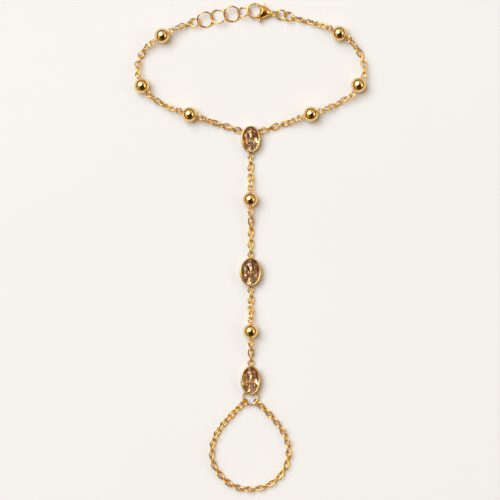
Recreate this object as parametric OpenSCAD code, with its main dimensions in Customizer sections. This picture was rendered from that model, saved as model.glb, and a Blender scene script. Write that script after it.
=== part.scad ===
/* [Chain] */
// Outer length of one oval chain link
link_len = 2.95; // [2.85:0.05:3.3]
// Outer width of one chain link
link_wid = 2; // [1.9:0.05:2.2]
// Thickness of the link's wire
link_wire = 0.42; // [0.36:0.02:0.46]
// Roundness of the link's ends: 1 is a half circle as wide as the link
link_end_share = 0.85; // [0.7:0.01:0.9]
// Clear space between the wires of two neighbouring links
link_gap = 0.13; // [0.1:0.01:0.16]
// Share of its pulled length at which the chain lies
chain_slack = 0.9; // [0.86:0.01:0.98]
// Turn of the links that lie nearly flat
flat_roll = -32; // [-40:1:-32]
// Length over which the chain comes down from a bead to the surface
drop_len = 5; // [4:0.5:6]

/* [Beads] */
// Diameter of a bead
bead_d = 4.5; // [4:0.05:5]
// Diameter of the hole through a bead
bead_bore = 0.75; // [0.65:0.05:1]
// Thickness of the pin through a bead
pin_d = 0.5; // [0.4:0.05:0.6]
// Outer diameter of the eye at each end of a pin
eye_od = 2.05; // [1.9:0.05:2.2]
// Thickness of the eye's wire
eye_wire = 0.45; // [0.36:0.02:0.5]
// Clear space between a bead and the eyes of its pin
bead_gap = 0.1; // [0.05:0.01:0.2]

/* [Settings] */
// Height of a setting from its flat back to its rim
setting_h = 2.6; // [2.4:0.1:3]
// Height of the stone's widest line above the setting's back
girdle_z = 2.05; // [1.9:0.05:2.15]
// Thickness of the stone's widest part
girdle_t = 0.15; // [0.1:0.05:0.25]
// Depth of a stone below its widest line
pavilion_h = 1.65; // [1.3:0.05:1.8]
// Height of a stone above its widest line
crown_h = 0.85; // [0.7:0.05:1.1]
// How far the rim folds over the stone
rim_fold = 0.1; // [0.06:0.02:0.14]
// Clear space between a stone and its seat
stone_gap = 0.04; // [0.03:0.01:0.06]
// Round of the setting's lower edge
back_round = 0.3; // [0.2:0.05:0.4]
// Round of the setting's rim
rim_round = 0.1; // [0.06:0.02:0.14]
// Width of the top setting
top_w = 6; // [5.6:0.1:6.4]
// Length of the top setting
top_l = 7.95; // [7.5:0.05:8.4]
// Width of the middle setting
middle_w = 6.6; // [6.2:0.1:7]
// Length of the middle setting
middle_l = 8.5; // [8:0.1:9]
// Width of the bottom setting
bottom_w = 6; // [5.6:0.1:6.4]
// Length of the bottom setting
bottom_l = 8.6; // [8.2:0.1:9]
// Width of the rim beside the stone
rim_side = 0.65; // [0.55:0.05:0.8]
// Width of the rim at the stone's two ends
rim_end = 0.4; // [0.35:0.05:0.5]
// Outer width of the eye at an end of a setting
end_eye_od = 2.1; // [1.9:0.1:2.4]
// Reach of that eye beyond the setting's wall
end_eye_reach = 2.1; // [1.5:0.1:2.4]
// Outer width of the two eyes at the sides of the top setting
side_eye_od = 1.9; // [1.8:0.05:2]
// Reach of those eyes beyond the setting's wall
side_eye_reach = 1.25; // [1.2:0.05:1.5]

/* [Rings] */
// Outer diameter of the ring that holds the finger chain
finger_ring_od = 5.05; // [4.8:0.05:5.4]
// Thickness of that ring's wire
finger_ring_wire = 0.55; // [0.45:0.05:0.65]
// Outer diameter of the two small rings that join the finger chain to it
finger_jump_od = 2.45; // [2.3:0.05:2.6]
// Thickness of the wire of those small rings and of the ring in the clasp
ring_wire = 0.42; // [0.36:0.02:0.46]
// Thickness of the wire of the extender's other rings
extender_wire = 0.46; // [0.4:0.02:0.48]
// Thickness of the wire of the two jump rings
jump_wire = 0.46; // [0.38:0.02:0.5]
// Outer diameter of the three large extender rings
extender_od = 5.1; // [5:0.05:5.3]
// Outer diameter of the ring between the chain and the extender
start_od = 3.4; // [3.3:0.05:3.5]
// Outer diameter of the ring that the clasp is hooked in
hooked_od = 4.05; // [3.9:0.05:4.2]
// Outer diameter of the two jump rings behind the clasp
jump_od = 3.4; // [3.15:0.05:3.5]

/* [Clasp] */
// Radius of the clasp's round opening
jaw_r = 1.78; // [1.7:0.02:1.84]
// Width of the hook around the opening
hook_w = 0.57; // [0.5:0.01:0.62]
// Thickness of the hook
hook_t = 0.7; // [0.6:0.05:0.8]
// Thickness of the clasp's body
clasp_t = 2.8; // [2.6:0.1:3]
// Distance from the opening's middle to the eye at the tail
clasp_len = 6.45; // [6.2:0.05:6.7]
// Outer diameter of the eye at the tail
tail_od = 2.2; // [2.1:0.05:2.4]
// Thickness of the tail eye's wire
tail_wire = 0.5; // [0.4:0.05:0.55]
// Thickness of the lever
lever_t = 0.8; // [0.7:0.05:0.9]
// Width of the lever's arm
lever_w = 0.52; // [0.44:0.02:0.56]
// Diameter of the lever's pivot
pivot_d = 0.6; // [0.5:0.05:0.7]
// Clear space around the lever and its pivot
lever_gap = 0.1; // [0.08:0.01:0.15]
// Diameter of the lever's thumb knob
knob_d = 1; // [0.9:0.05:1.1]

/* [Hidden] */
$fn = 48;
gold = "goldenrod";
glass = "rosybrown";
oval_sides = 48;
path_steps = 12;

// Beads: name, place in plan, heading of the pin's eye before the bead and behind it.
// The wrist's beads are counted from the top setting up to the clasp.
BEADS = [
    ["left_1", [-18.3, 39.9], 163, 160],
    ["left_2", [-32.6, 48.5], 128, 110],
    ["left_3", [-26.5, 63.5], 33, 31],
    ["right_1", [18.1, 40.0], 17, 20],
    ["right_2", [32.35, 48.7], 58, 63],
    ["right_3", [26.6, 64.2], 149, 151],
    ["centre_1", [-0.1, 14.4], -90, -90],
    ["centre_2", [0, -25.1], -90, -90]
];

// Settings: name, place of the middle along Y, outer width and length
SETTINGS = [
    ["top", 32.5, top_w, top_l],
    ["middle", -7.3, middle_w, middle_l],
    ["bottom", -39.8, bottom_w, bottom_l]
];

// Where the side eyes of the top setting leave its outline, as a turn from +X, and their heading
side_eye_turn = 36;
side_eye_heading = 18;

// Chosen points of each chain's way between its two ends
ROUTE_LEFT_1 = [[-6.4, 36.1], [-9.6, 37.1], [-12.7, 38.1]];
ROUTE_LEFT_2 = [[-24.4, 42.0], [-27.4, 43.6]];
ROUTE_LEFT_3 = [[-33.9, 54.4], [-33.2, 57.2], [-31.5, 59.9]];
ROUTE_LEFT_4 = [[-20.6, 66.5]];
ROUTE_RIGHT_1 = [[5.7, 35.9], [8.9, 36.9], [12.0, 37.8]];
ROUTE_RIGHT_2 = [[24.2, 42.2], [27.2, 43.9]];
ROUTE_RIGHT_3 = [[34.0, 54.2], [33.4, 57.2], [31.6, 60.1]];
ROUTE_RIGHT_4 = [[20.6, 66.9], [17.4, 67.8], [14.6, 68.5]];
ROUTE_CENTRE_1 = [[-0.1, 24.6], [0, 21.2]];
ROUTE_CENTRE_2 = [[0.1, 7.5], [0, 2.0]];
ROUTE_CENTRE_3 = [[0.1, -15.4], [0, -18.4]];
ROUTE_CENTRE_4 = [[0.1, -31.5]];
ROUTE_FINGER = [
    [-3.96, -48.24], [-6.3, -50.7], [-8.7, -53.4], [-10.5, -56.2], [-11.6, -59.7], [-11.6, -63.2],
    [-10.9, -65.7], [-9.2, -68.1], [-6.7, -70.6], [-3.7, -72.1], [0, -72.5], [3.4, -71.9],
    [6.7, -70.3], [9.5, -67.4], [11.0, -64.1], [11.4, -61.2], [11.0, -58.3], [9.7, -55.1],
    [7.4, -52.0], [5.1, -49.4], [3.4, -47.8]
];
ROUTE_EXTENDER = [[-9.6, 69.4]];
ROUTE_JUMP = [[10.2, 69.7]];

// Ends of the extender's and the jump rings' ways
EXTENDER_START = [-17.9, 67.3, 1.15];
JUMP_END = [12.45, 68.95, 1.0];

// Clasp: middle of its opening, and heading from there to the tail
clasp_place = [1.05, 71.1];
clasp_heading = -8.8;

function direction(turn) = [cos(turn), sin(turn)];
function mix(a, b, t) = a + (b - a) * t;
function row(table, name) = table[search([name], table)[0]];

link_pitch = link_len - 2 * link_wire - link_gap;
chain_z = link_wid / 2;
eye_mid_r = (eye_od - eye_wire) / 2;
bead_z = bead_d / 2;
eye_place = bead_d / 2 + bead_gap + eye_od / 2;
clasp_z = clasp_t / 2;

// Where two neighbouring wires meet: the middle of the first lies half its thickness and half
// the gap beyond this point
function joint_inset(wire) = (wire + link_gap) / 2;
function ring_pitch(od, wire) = od - 2 * wire - link_gap;

// A ring or link: outer length, outer width and wire
start_ring = [start_od, start_od, extender_wire];
extender_ring = [extender_od, extender_od, extender_wire];
hooked_ring = [hooked_od, hooked_od, ring_wire];
jump_ring = [jump_od, jump_od, jump_wire];
chain_link = [link_len, link_wid, link_wire, link_end_share];

// Turns of the rings about the way they lie along
start_roll = -26;
extender_roll = 24;
hooked_roll = -38;
jump_roll = 26;
tail_roll = -40;
finger_jump_roll = 45;
// The turn that the ends of the finger chain are counted from
finger_hook_roll = 62;
// Spare room of the finger chain's small rings in the large one
finger_slack = 0.1;
// Where the hooked ring passes through the hook, as a turn from +X, and its clear space there
hook_turn = 186;
hook_gap = 0.25;

// A chain hangs in a ring or an eye's end arc on the side that faces its way
function hang(middle, mid_r, wire, toward, z) =
    let (plan = middle + (mid_r - joint_inset(wire)) * (toward - middle) / norm(toward - middle))
    [plan[0], plan[1], z];

function bead_joint(name, side, toward) =
    let (bead = row(BEADS, name))
    hang(bead[1] + side * eye_place * direction(bead[side < 0 ? 2 : 3]), eye_mid_r, eye_wire, toward, bead_z);

function setting_joint(name, side, toward) =
    let (setting = row(SETTINGS, name),
         arc_place = setting[3] / 2 + end_eye_reach - end_eye_od / 2)
    hang([0, setting[1] + side * arc_place], (end_eye_od - eye_wire) / 2, eye_wire, toward, chain_z);

function side_eye_root(side) =
    let (setting = row(SETTINGS, "top"))
    [side * setting[2] / 2 * cos(side_eye_turn), setting[1] + setting[3] / 2 * sin(side_eye_turn)];
function side_eye_turned(side) = side > 0 ? side_eye_heading : 180 - side_eye_heading;

function side_eye_joint(side, toward) =
    let (arc = side_eye_root(side) + (side_eye_reach - side_eye_od / 2) * direction(side_eye_turned(side)))
    hang(arc, (side_eye_od - eye_wire) / 2, eye_wire, toward, chain_z);

finger_ring_y = row(SETTINGS, "bottom")[1] - row(SETTINGS, "bottom")[3] / 2 - 0.7;
function finger_joint(toward) =
    hang([0, finger_ring_y], (finger_ring_od - finger_ring_wire) / 2 - finger_slack, finger_ring_wire,
         toward, chain_z);
function finger_chain_joint(toward) =
    let (joint = finger_joint(toward),
         way = toward - [joint[0], joint[1]],
         plan = ring_pitch(finger_jump_od, ring_wire) * way / norm(way))
    joint + [plan[0], plan[1], 0];

function clasp_point(u, v) =
    let (plan = clasp_place + u * direction(clasp_heading) + v * direction(clasp_heading + 90))
    [plan[0], plan[1], clasp_z];
hook_plan = clasp_place + (jaw_r + link_gap / 2 - hook_gap) * direction(hook_turn);
hook_joint = [hook_plan[0], hook_plan[1], clasp_z];
tail_mid_r = (tail_od - tail_wire) / 2;
tail_joint = clasp_point(clasp_len + tail_mid_r - joint_inset(tail_wire), 0);

// Smooth way through the chosen points
function spline_point(p, i, t) =
    let (a = p[max(i - 1, 0)], b = p[i], c = p[i + 1], d = p[min(i + 2, len(p) - 1)])
    (2 * b + (c - a) * t + (2 * a - 5 * b + 4 * c - d) * t * t + (3 * b - a - 3 * c + d) * t * t * t) / 2;
function spline(p) = [
    for (i = [0 : len(p) - 2], k = [0 : path_steps - 1]) spline_point(p, i, k / path_steps),
    p[len(p) - 1]
];
function run_lengths(q) = [
    for (i = 0, s = 0; i < len(q); i = i + 1, s = i < len(q) ? s + norm(q[i] - q[i - 1]) : s) s
];
function at_length(q, s, want) =
    let (i = max([for (k = [0 : len(s) - 2]) if (s[k] <= want) k]))
    mix(q[i], q[i + 1], (want - s[i]) / (s[i + 1] - s[i]));
function last(list) = list[len(list) - 1];
function ease(t) = t < 1 ? (1 + cos(180 * t)) / 2 : 0;

// The way in plan lies at one height, and rises to its ends
function raised_way(start, end, route, lie_z) =
    let (plan = spline(concat([[start[0], start[1]]], route, [[end[0], end[1]]])),
         s = run_lengths(plan),
         total = last(s))
    [for (i = [0 : len(plan) - 1])
        [plan[i][0], plan[i][1],
         lie_z + (start[2] - lie_z) * ease(s[i] / drop_len)
               + (end[2] - lie_z) * ease((total - s[i]) / drop_len)]];

// Joints along a way, spaced by the share of each link's pitch
function joints(way, pitches) =
    let (s = run_lengths(way),
         shares = run_sums(pitches),
         scale = last(s) / last(shares))
    [for (k = [0 : len(pitches)]) at_length(way, s, min(shares[k] * scale, last(s)))];
function run_sums(list) = [for (i = 0, s = 0; i <= len(list); s = i < len(list) ? s + list[i] : s, i = i + 1) s];

function link_count(way) =
    let (total = last(run_lengths(way)))
    max(ceil(total / link_pitch), round(total / (link_pitch * chain_slack)));

// A chain whose two ends are mirror images needs an odd number of links
function odd_count(count) = count % 2 == 0 ? count + 1 : count;

// The turn from link to link that ends at the wanted turn
function turn_step(start_roll, end_roll, steps) =
    let (rest = end_roll - start_roll - 90 * steps,
         left = rest - 180 * round(rest / 180))
    90 + left / steps;

// Oval link along X: two end arcs and two side arcs that meet in one direction
module wire_link(size) {
    half_len = (size[0] - size[2]) / 2;
    half_wid = (size[1] - size[2]) / 2;
    end_r = size[3] * half_wid;
    end_x = half_len - end_r;
    side_r = (pow(end_x, 2) + pow(half_wid, 2) - pow(end_r, 2)) / (2 * (half_wid - end_r));
    side_y = side_r - half_wid;
    turn = atan2(side_y, end_x);
    for (side = [-1, 1]) {
        translate([side * end_x, 0, 0])
            rotate([0, 0, (side > 0 ? 0 : 180) - turn])
                rotate_extrude(angle = 2 * turn) translate([end_r, 0]) circle(d = size[2]);
        translate([0, -side * side_y, 0])
            rotate([0, 0, (side > 0 ? 0 : 180) + turn])
                rotate_extrude(angle = 180 - 2 * turn) translate([side_r, 0]) circle(d = size[2]);
    }
}

module wire_ring(od, wire) {
    rotate_extrude() translate([(od - wire) / 2, 0]) circle(d = wire);
}

// Puts its child between two joints, turned about the line between them
module between(a, b, roll) {
    run = b - a;
    translate((a + b) / 2)
        rotate([0, 0, atan2(run[1], run[0])])
            rotate([0, -asin(run[2] / norm(run)), 0])
                rotate([roll, 0, 0]) children();
}

module chain_run(start, end, route, start_turn, end_turn, mirrored = false) {
    way = raised_way(start, end, route, chain_z);
    count = mirrored ? odd_count(link_count(way)) : link_count(way);
    at = joints(way, [for (k = [1 : count]) link_pitch]);
    step = turn_step(start_turn, end_turn, count + 1);
    color(gold)
        for (k = [0 : count - 1])
            between(at[k], at[k + 1], start_turn + (k + 1) * step) wire_link(chain_link);
}

module chain_left_1() {
    chain_run(
        side_eye_joint(-1, ROUTE_LEFT_1[0]),
        bead_joint("left_1", -1, last(ROUTE_LEFT_1)),
        ROUTE_LEFT_1, 90 + flat_roll, flat_roll);
}
module chain_left_2() {
    chain_run(
        bead_joint("left_1", 1, ROUTE_LEFT_2[0]),
        bead_joint("left_2", -1, last(ROUTE_LEFT_2)),
        ROUTE_LEFT_2, flat_roll, flat_roll);
}
module chain_left_3() {
    chain_run(
        bead_joint("left_2", 1, ROUTE_LEFT_3[0]),
        bead_joint("left_3", -1, last(ROUTE_LEFT_3)),
        ROUTE_LEFT_3, flat_roll, flat_roll);
}
module chain_left_4() {
    chain_run(
        bead_joint("left_3", 1, ROUTE_LEFT_4[0]),
        EXTENDER_START,
        ROUTE_LEFT_4, flat_roll, start_roll);
}
module chain_right_1() {
    chain_run(
        side_eye_joint(1, ROUTE_RIGHT_1[0]),
        bead_joint("right_1", -1, last(ROUTE_RIGHT_1)),
        ROUTE_RIGHT_1, 90 + flat_roll, flat_roll);
}
module chain_right_2() {
    chain_run(
        bead_joint("right_1", 1, ROUTE_RIGHT_2[0]),
        bead_joint("right_2", -1, last(ROUTE_RIGHT_2)),
        ROUTE_RIGHT_2, flat_roll, flat_roll);
}
module chain_right_3() {
    chain_run(
        bead_joint("right_2", 1, ROUTE_RIGHT_3[0]),
        bead_joint("right_3", -1, last(ROUTE_RIGHT_3)),
        ROUTE_RIGHT_3, flat_roll, flat_roll);
}
module chain_right_4() {
    chain_run(
        bead_joint("right_3", 1, ROUTE_RIGHT_4[0]),
        JUMP_END,
        ROUTE_RIGHT_4, flat_roll, jump_roll);
}
module chain_centre_1() {
    chain_run(
        setting_joint("top", -1, ROUTE_CENTRE_1[0]),
        bead_joint("centre_1", -1, last(ROUTE_CENTRE_1)),
        ROUTE_CENTRE_1, 0, flat_roll);
}
module chain_centre_2() {
    chain_run(
        bead_joint("centre_1", 1, ROUTE_CENTRE_2[0]),
        setting_joint("middle", 1, last(ROUTE_CENTRE_2)),
        ROUTE_CENTRE_2, flat_roll, 0);
}
module chain_centre_3() {
    chain_run(
        setting_joint("middle", -1, ROUTE_CENTRE_3[0]),
        bead_joint("centre_2", -1, last(ROUTE_CENTRE_3)),
        ROUTE_CENTRE_3, 0, flat_roll);
}
module chain_centre_4() {
    chain_run(
        bead_joint("centre_2", 1, ROUTE_CENTRE_4[0]),
        setting_joint("bottom", 1, last(ROUTE_CENTRE_4)),
        ROUTE_CENTRE_4, flat_roll, 0);
}
module chain_finger() {
    chain_run(
        finger_chain_joint(ROUTE_FINGER[0]),
        finger_chain_joint(last(ROUTE_FINGER)),
        ROUTE_FINGER, finger_hook_roll, finger_hook_roll, true);
}

module finger_jump_ring(toward, roll) {
    color(gold)
        between(finger_joint(toward), finger_chain_joint(toward), roll)
            wire_ring(finger_jump_od, ring_wire);
}
module ring_finger_1() { finger_jump_ring(ROUTE_FINGER[0], finger_jump_roll); }
module ring_finger_2() { finger_jump_ring(last(ROUTE_FINGER), -finger_jump_roll); }

// Rings along the extender: the joints between them, and one ring by its number
EXTENDER = [start_ring, extender_ring, extender_ring, extender_ring, hooked_ring];
EXTENDER_ROLLS = [start_roll, extender_roll, -extender_roll, extender_roll, hooked_roll];
extender_lie_z = (extender_od - extender_wire) / 2 * sin(extender_roll) + extender_wire / 2 + 0.03;
extender_joints = joints(
    raised_way(EXTENDER_START, hook_joint, ROUTE_EXTENDER, extender_lie_z),
    [for (ring = EXTENDER) ring_pitch(ring[0], ring[2])]);
module extender_ring_number(k) {
    color(gold)
        between(extender_joints[k], extender_joints[k + 1], EXTENDER_ROLLS[k])
            wire_ring(EXTENDER[k][0], EXTENDER[k][2]);
}
module ring_start() { extender_ring_number(0); }
module ring_extender_1() { extender_ring_number(1); }
module ring_extender_2() { extender_ring_number(2); }
module ring_extender_3() { extender_ring_number(3); }
module ring_hooked() { extender_ring_number(4); }

JUMP = [jump_ring, jump_ring];
jump_joints = joints(
    raised_way(tail_joint, JUMP_END, ROUTE_JUMP, chain_z),
    [for (ring = JUMP) ring_pitch(ring[0], ring[2])]);
module jump_ring_number(k, roll) {
    color(gold)
        between(jump_joints[k], jump_joints[k + 1], roll) wire_ring(JUMP[k][0], JUMP[k][2]);
}
module ring_jump_1() { jump_ring_number(0, jump_roll); }
module ring_jump_2() { jump_ring_number(1, -jump_roll); }

// A bead and its pin, at one of the rows of the table
module bead_at(name) {
    bead = row(BEADS, name);
    heading = (bead[2] + bead[3]) / 2;
    color(gold)
        translate([bead[1][0], bead[1][1], bead_z])
            rotate([0, 0, heading])
                rotate([0, 90, 0])
                    rotate_extrude()
                        intersection() {
                            circle(d = bead_d);
                            translate([bead_bore / 2, -bead_d / 2]) square([bead_d, bead_d]);
                        }
}

module pin_at(name) {
    bead = row(BEADS, name);
    heading = (bead[2] + bead[3]) / 2;
    shaft_reach = eye_place - eye_mid_r;
    color(gold)
        translate([bead[1][0], bead[1][1], bead_z]) {
            rotate([0, 0, heading]) rotate([0, 90, 0]) cylinder(d = pin_d, h = 2 * shaft_reach, center = true);
            for (side = [-1, 1])
                rotate([0, 0, bead[side < 0 ? 2 : 3]])
                    translate([side * eye_place, 0, 0])
                        rotate([flat_roll, 0, 0]) wire_ring(eye_od, eye_wire);
        }
}

module bead_left_1() { bead_at("left_1"); }
module bead_left_2() { bead_at("left_2"); }
module bead_left_3() { bead_at("left_3"); }
module bead_right_1() { bead_at("right_1"); }
module bead_right_2() { bead_at("right_2"); }
module bead_right_3() { bead_at("right_3"); }
module bead_centre_1() { bead_at("centre_1"); }
module bead_centre_2() { bead_at("centre_2"); }
module pin_left_1() { pin_at("left_1"); }
module pin_left_2() { pin_at("left_2"); }
module pin_left_3() { pin_at("left_3"); }
module pin_right_1() { pin_at("right_1"); }
module pin_right_2() { pin_at("right_2"); }
module pin_right_3() { pin_at("right_3"); }
module pin_centre_1() { pin_at("centre_1"); }
module pin_centre_2() { pin_at("centre_2"); }

// Solid through level ovals, each given as height, half width and half length
module oval_loft(levels) {
    n = oval_sides;
    points = [for (level = levels, k = [0 : n - 1])
        [level[1] * cos(360 * k / n), level[2] * sin(360 * k / n), level[0]]];
    sides = [for (r = [0 : len(levels) - 2], k = [0 : n - 1])
        [r * n + k, (r + 1) * n + k, (r + 1) * n + (k + 1) % n, r * n + (k + 1) % n]];
    bottom = [for (k = [0 : n - 1]) k];
    top = [for (k = [n - 1 : -1 : 0]) (len(levels) - 1) * n + k];
    polyhedron(points = points, faces = concat([bottom], sides, [top]), convexity = 4);
}

// Where the stone's lower halves end, as shares of its width and of its depth
MAIN_SHARE = 0.3;
MAIN_DEPTH = 0.76;

// The stone's half sizes at its widest line, a little under the rim's fold
function girdle_half(setting) =
    [setting[2] / 2 - rim_side + rim_fold, setting[3] / 2 - rim_end + rim_fold];

module setting_cup(setting) {
    w = setting[2] / 2;
    l = setting[3] / 2;
    girdle = girdle_half(setting);
    crown_slope = rim_fold / (setting_h - girdle_z - girdle_t);
    difference() {
        oval_loft([
            [0, w - back_round, l - back_round],
            [back_round * 0.3, w - back_round * 0.3, l - back_round * 0.3],
            [back_round, w, l],
            [setting_h - rim_round, w, l],
            [setting_h, w - rim_round, l - rim_round]
        ]);
        oval_loft([
            [girdle_z - pavilion_h - stone_gap, stone_gap, stone_gap],
            [girdle_z - pavilion_h * MAIN_DEPTH - stone_gap,
             girdle[0] * MAIN_SHARE + stone_gap, girdle[1] * MAIN_SHARE + stone_gap],
            [girdle_z - stone_gap, girdle[0] + stone_gap, girdle[1] + stone_gap],
            [girdle_z + girdle_t + stone_gap, girdle[0] + stone_gap, girdle[1] + stone_gap],
            [setting_h + 0.1, girdle[0] - rim_fold * 1.2, girdle[1] - rim_fold * 1.2]
        ]);
    }
}

// Whole ring against a setting's wall, on a dab of solder that goes into the wall; it points along +X
module end_eye_ring() {
    solder_depth = 0.5;
    translate([end_eye_reach - end_eye_od / 2, 0, 0]) wire_ring(end_eye_od, eye_wire);
    translate([-solder_depth, 0, 0])
        rotate([0, 90, 0])
            cylinder(d = eye_wire * 1.5, h = solder_depth + end_eye_reach - end_eye_od + eye_wire * 0.5);
}

// Half ring on two legs, soldered to a setting's wall; it points along +X
module setting_eye(od, reach, depth) {
    arc_x = reach - od / 2;
    mid_r = (od - eye_wire) / 2;
    translate([arc_x, 0, 0])
        rotate([0, 0, -90])
            rotate_extrude(angle = 180) translate([mid_r, 0]) circle(d = eye_wire);
    for (side = [-1, 1])
        translate([-depth, side * mid_r, 0])
            rotate([0, 90, 0]) cylinder(d = eye_wire, h = depth + arc_x);
}

module end_eye(setting, side) {
    translate([0, setting[1] + side * setting[3] / 2, chain_z])
        rotate([0, 0, 90 * side]) end_eye_ring();
}

module setting_top() {
    setting = row(SETTINGS, "top");
    color(gold) {
        translate([0, setting[1], 0]) setting_cup(setting);
        end_eye(setting, -1);
        for (side = [-1, 1])
            translate([side_eye_root(side)[0], side_eye_root(side)[1], chain_z])
                rotate([0, 0, side_eye_turned(side)])
                    rotate([90 + flat_roll, 0, 0]) setting_eye(side_eye_od, side_eye_reach, 0.3);
    }
}

module setting_middle() {
    setting = row(SETTINGS, "middle");
    color(gold) {
        translate([0, setting[1], 0]) setting_cup(setting);
        end_eye(setting, -1);
        end_eye(setting, 1);
    }
}

module setting_bottom() {
    setting = row(SETTINGS, "bottom");
    color(gold) {
        translate([0, setting[1], 0]) setting_cup(setting);
        end_eye(setting, 1);
        translate([0, finger_ring_y, chain_z]) wire_ring(finger_ring_od, finger_ring_wire);
    }
}

// Oval brilliant: eight table corners, kites, and halves down to the girdle and the culet
module stone_at(name) {
    setting = row(SETTINGS, name);
    girdle = girdle_half(setting);
    function oval(share, turn, z) = [share * girdle[0] * cos(turn), share * girdle[1] * sin(turn), z];
    table_z = girdle_z + girdle_t + crown_h;
    table = [for (i = [0 : 7]) oval(0.58, 22.5 + 45 * i, table_z)];
    kite = [for (i = [0 : 7]) oval(0.82, 45 * i, girdle_z + girdle_t + crown_h * 0.55)];
    upper = [for (j = [0 : 15]) oval(1, 22.5 * j, girdle_z + girdle_t)];
    lower = [for (j = [0 : 15]) oval(1, 22.5 * j, girdle_z)];
    main = [for (i = [0 : 7]) oval(MAIN_SHARE, 45 * i, girdle_z - pavilion_h * MAIN_DEPTH)];
    culet = [[0, 0, girdle_z - pavilion_h]];
    color(glass)
        translate([0, setting[1], 0])
            polyhedron(
                points = concat(table, kite, upper, lower, main, culet),
                faces = concat(
                    [[for (i = [7 : -1 : 0]) i]],
                    [for (i = [0 : 7]) [i, (i + 1) % 8, 8 + (i + 1) % 8]],
                    [for (i = [0 : 7]) [i, 16 + 2 * i + 1, 8 + i]],
                    [for (i = [0 : 7]) [i, 8 + (i + 1) % 8, 16 + 2 * i + 1]],
                    [for (i = [0 : 7]) [8 + i, 16 + 2 * i + 1, 16 + 2 * i]],
                    [for (i = [0 : 7]) [8 + i, 16 + 2 * i, 16 + (2 * i + 15) % 16]],
                    [for (j = [0 : 15]) [16 + j, 16 + (j + 1) % 16, 32 + (j + 1) % 16, 32 + j]],
                    [for (i = [0 : 7]) [48 + i, 32 + 2 * i, 32 + 2 * i + 1]],
                    [for (i = [0 : 7]) [48 + i, 32 + (2 * i + 15) % 16, 32 + 2 * i]],
                    [for (i = [0 : 7]) [48 + i, 32 + 2 * i + 1, 56]],
                    [for (i = [0 : 7]) [48 + (i + 1) % 8, 56, 32 + 2 * i + 1]]
                ),
                convexity = 2);
}

module stone_top() { stone_at("top"); }
module stone_middle() { stone_at("middle"); }
module stone_bottom() { stone_at("bottom"); }

// Clasp, drawn with the opening's middle at the origin and the tail along +X
hook_mid_r = jaw_r + hook_w / 2;
hook_out_r = jaw_r + hook_w;
pivot = hook_out_r * [0.766, -0.723];
hook_start = 70;
lever_start = 237;
lever_end = 296;
// The lever's tip and the hook's end face each other on a round about the pivot
lever_reach = hook_out_r * 1.213;
knob_place = pivot + knob_d * [0.45, -1.1];
lever_hub_d = pivot_d + 0.3;
pivot_pin_l = clasp_t * 0.68;
// Sections of the clasp: place as a share of its length, lower and upper edge as shares of the
// hook's outer radius, and height as a share of the clasp's thickness
CLASP_SECTIONS = [
    [0.08, -0.99, 0.95, 0.42],
    [0.17, -0.99, 0.91, 0.66],
    [0.28, -0.97, 0.84, 0.92],
    [0.39, -0.92, 0.78, 1],
    [0.5, -0.77, 0.75, 0.97],
    [0.6, -0.57, 0.64, 0.84],
    [0.71, -0.37, 0.44, 0.62],
    [0.81, -0.2, 0.24, 0.42],
    [0.87, -0.12, 0.13, 0.28]
];
section_sides = 28;
fin_t = 0.4;
// Fin: places as shares of the clasp's length and of the hook's outer radius
FIN = [[0.42, 0.6], [0.5, 0.6], [0.353, 1.277], [0.329, 1.255]];

function section_point(section, turn) =
    let (half = hook_out_r * (section[2] - section[1]) / 2,
         middle = hook_out_r * (section[2] + section[1]) / 2,
         power = 2 / 2.6)
    [section[0] * clasp_len,
     middle + half * sign(cos(turn)) * pow(abs(cos(turn)), power),
     section[3] * clasp_t / 2 * sign(sin(turn)) * pow(abs(sin(turn)), power)];

module clasp_bulb() {
    n = section_sides;
    rows = len(CLASP_SECTIONS);
    points = [for (section = CLASP_SECTIONS, k = [0 : n - 1]) section_point(section, 360 * k / n)];
    sides = [for (r = [0 : rows - 2], k = [0 : n - 1])
        [r * n + k, (r + 1) * n + k, (r + 1) * n + (k + 1) % n, r * n + (k + 1) % n]];
    polyhedron(
        points = points,
        faces = concat(
            [[for (k = [0 : n - 1]) k]],
            sides,
            [[for (k = [n - 1 : -1 : 0]) (rows - 1) * n + k]]),
        convexity = 4);
}

// Cross-section of the hook: flat faces with round edges
module hook_section() {
    square([hook_w, hook_t - hook_w], center = true);
    for (side = [-1, 1]) translate([0, side * (hook_t - hook_w) / 2]) circle(d = hook_w);
}

// The bulb ends where the lever's arm closes the opening
module clasp_mouth() {
    translate([-hook_out_r, -2 * hook_out_r, -clasp_t])
        cube([hook_out_r + pivot[0] - lever_hub_d * 0.67, 2 * hook_out_r, 2 * clasp_t]);
}

// Room for the lever's hub and for the way down to its knob
module lever_slot() {
    side = lever_hub_d / 2 + 2 * lever_gap;
    translate([pivot[0] - side, pivot[1] - hook_out_r, -lever_t / 2 - lever_gap])
        cube([side + knob_place[0] - pivot[0] + lever_w, hook_out_r + side, lever_t + 2 * lever_gap]);
}

module in_clasp_place() {
    translate(clasp_point(0, 0)) rotate([0, 0, clasp_heading]) children();
}

module clasp_body() {
    color(gold)
        in_clasp_place() {
            difference() {
                clasp_bulb();
                cylinder(r = jaw_r, h = clasp_t + 1, center = true);
                clasp_mouth();
                lever_slot();
                translate([pivot[0], pivot[1], 0])
                    cylinder(d = pivot_d + 2 * lever_gap, h = clasp_t + 1, center = true);
            }
            difference() {
                rotate([0, 0, hook_start])
                    rotate_extrude(angle = lever_start - hook_start) translate([hook_mid_r, 0]) hook_section();
                translate([pivot[0], pivot[1], 0])
                    cylinder(r = lever_reach + lever_gap, h = hook_t + 1, center = true);
            }
            translate([clasp_len, 0, 0]) rotate([tail_roll, 0, 0]) wire_ring(tail_od, tail_wire);
            translate([0, 0, -fin_t / 2])
                linear_extrude(fin_t) polygon([for (p = FIN) [p[0] * clasp_len, p[1] * hook_out_r]]);
        }
}

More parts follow.
